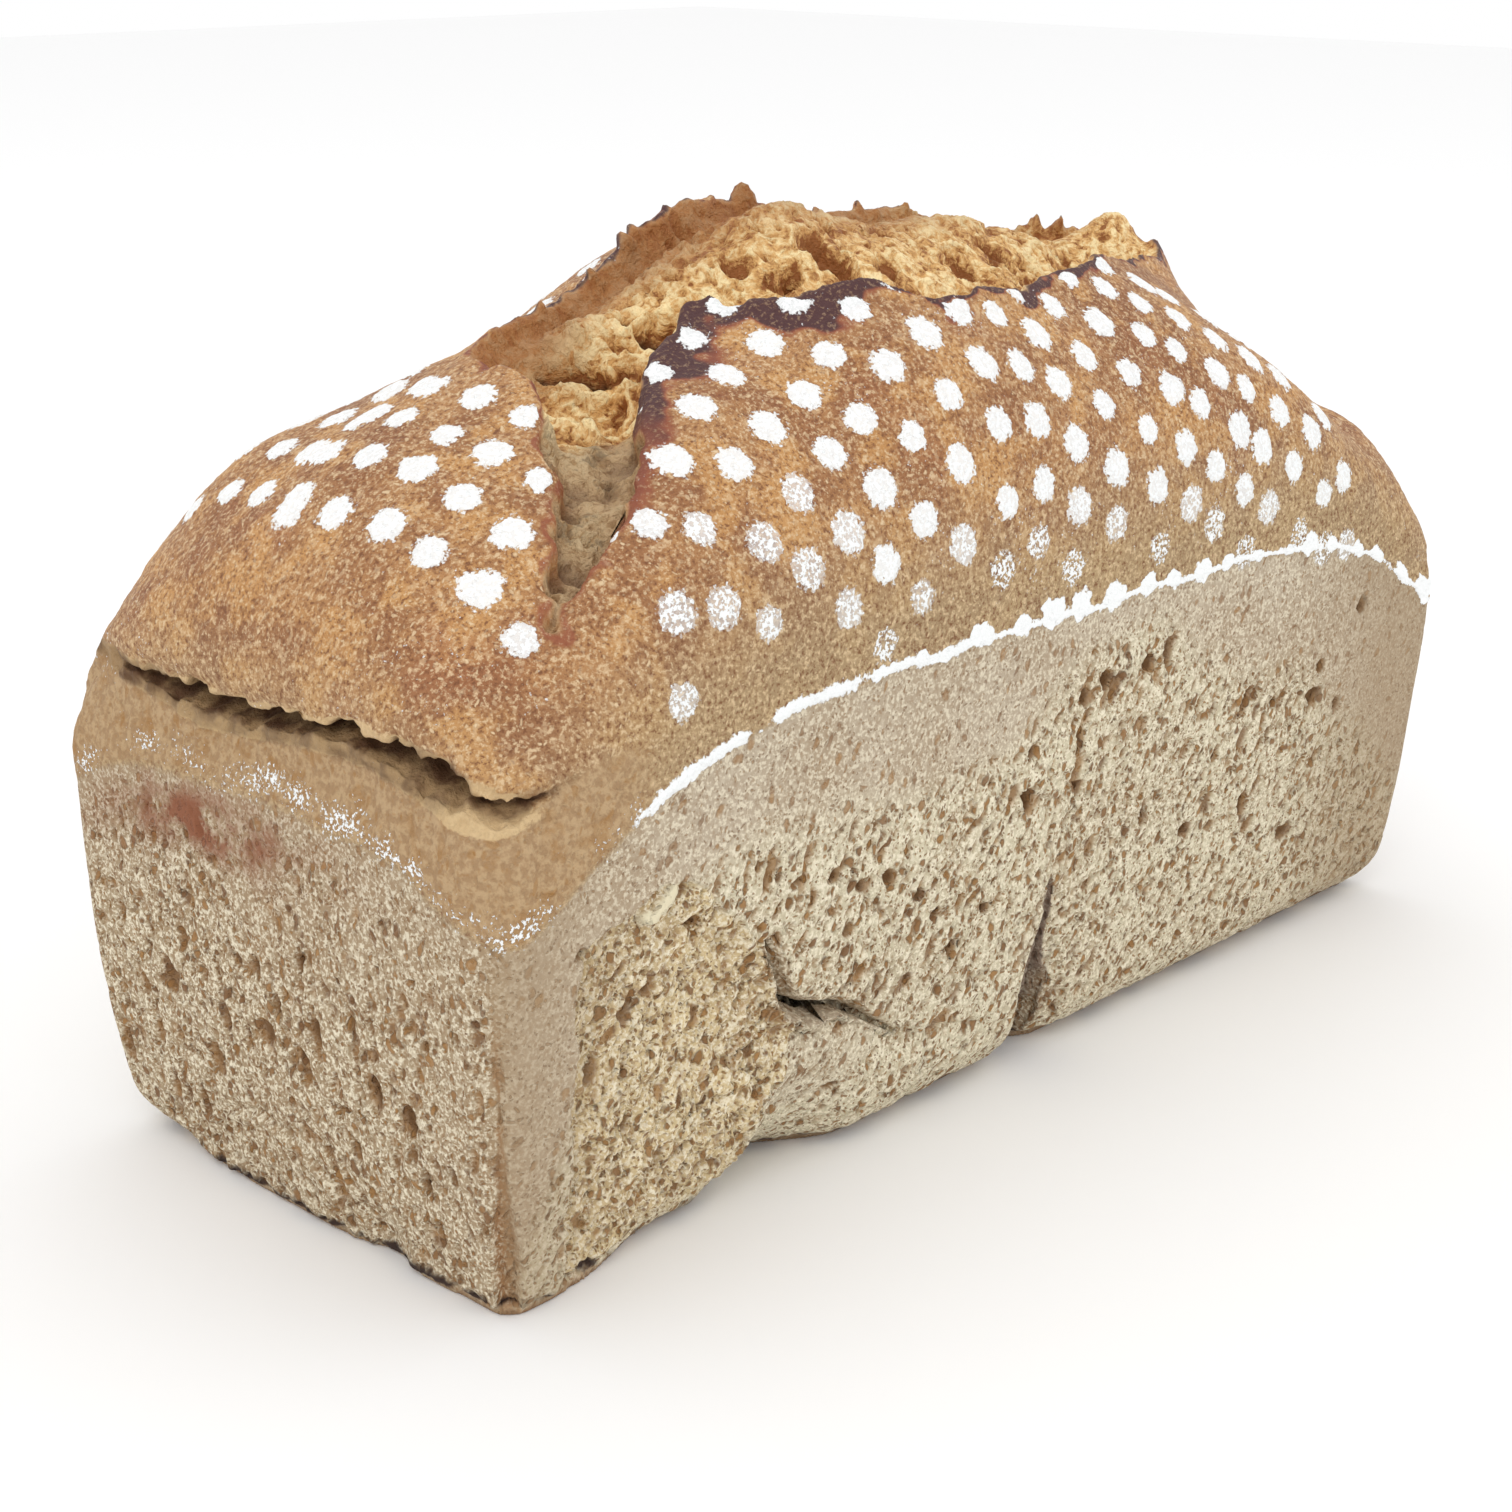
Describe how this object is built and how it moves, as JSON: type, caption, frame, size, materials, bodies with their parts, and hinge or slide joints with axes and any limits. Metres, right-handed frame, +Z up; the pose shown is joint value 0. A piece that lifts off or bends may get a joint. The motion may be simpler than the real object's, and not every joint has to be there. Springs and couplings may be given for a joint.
{
  "type": "sprouted grain bread loaf",
  "caption": "Whole tin-baked bread loaf with flat tin-side walls, a tall domed crust torn open along the crown, and a flat base to rest on.",
  "frame": {"origin": "centre of the loaf's bounding box at its flat base, z = 0 on the surface it rests on", "axes": "+X along the loaf from the torn end to the other end, +Y across it away from the folded side wall, +Z up"},
  "size_m": [0.2757, 0.116, 0.1635],
  "materials": {
    "crust": "dry matt baked crust, dusted with flour"
  },
  "bodies": {
    "root": {"loaf": "crust"}
  },
  "joints": []
}
